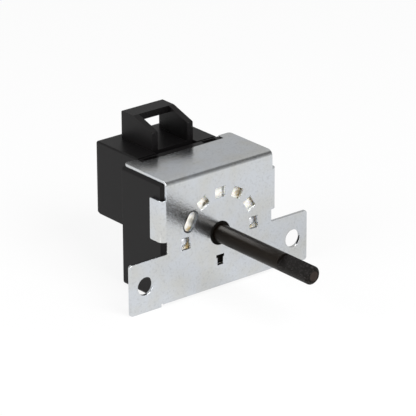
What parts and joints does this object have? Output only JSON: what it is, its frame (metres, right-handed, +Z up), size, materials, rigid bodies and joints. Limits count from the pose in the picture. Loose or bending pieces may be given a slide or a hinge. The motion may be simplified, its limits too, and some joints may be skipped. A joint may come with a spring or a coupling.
{
  "type": "rotary multifunction switch",
  "caption": "Rotary selector switch with a long flatted spindle, a folded mounting bracket with ears, a black contact housing and a rear plug socket with a latch bridge.",
  "frame": {"origin": "on the spindle's axis, at the panel face of the bracket", "axes": "X to the right as seen from the panel side, -Y along the spindle towards the user, +Z up"},
  "size_m": [0.0724, 0.088, 0.0509],
  "materials": {
    "zinc_plated_steel": "zinc-plated sheet, pale and slightly mottled",
    "black_moulding": "moulded, fine spark-eroded surface",
    "spindle_moulding": "moulded, smooth and slightly glossy",
    "natural_moulding": "moulded in natural colour, a little grease",
    "bearing_steel": "ground and polished",
    "spring_steel": "drawn wire",
    "brass_terminal": "stamped strip",
    "spring_bronze": "rolled strip",
    "silver_contact": "pressed silver"
  },
  "bodies": {
    "switch_frame": {"bracket": "zinc_plated_steel", "front_housing": "black_moulding", "rear_housing": "black_moulding", "contact_rivets": "silver_contact", "leaf_rivets": "brass_terminal", "contact_leaf_left_front": "spring_bronze", "moving_terminal_left_front": "brass_terminal", "fixed_terminal_left_front": "brass_terminal", "contact_leaf_left_rear": "spring_bronze", "moving_terminal_left_rear": "brass_terminal", "fixed_terminal_left_rear": "brass_terminal", "contact_leaf_right_front": "spring_bronze", "moving_terminal_right_front": "brass_terminal", "fixed_terminal_right_front": "brass_terminal", "contact_leaf_right_rear": "spring_bronze", "moving_terminal_right_rear": "brass_terminal", "fixed_terminal_right_rear": "brass_terminal"},
    "selector": {"spindle": "spindle_moulding", "index_rotor": "natural_moulding", "cam_drum": "natural_moulding", "detent_ball_left": "bearing_steel", "detent_spring_left": "spring_steel", "detent_ball_right": "bearing_steel", "detent_spring_right": "spring_steel"}
  },
  "joints": [
    {"name": "spindle_turn", "type": "hinge", "parent": "switch_frame", "child": "selector", "pos_m": [0, 0, 0], "axis": [0, -1, 0], "continuous": true}
  ]
}
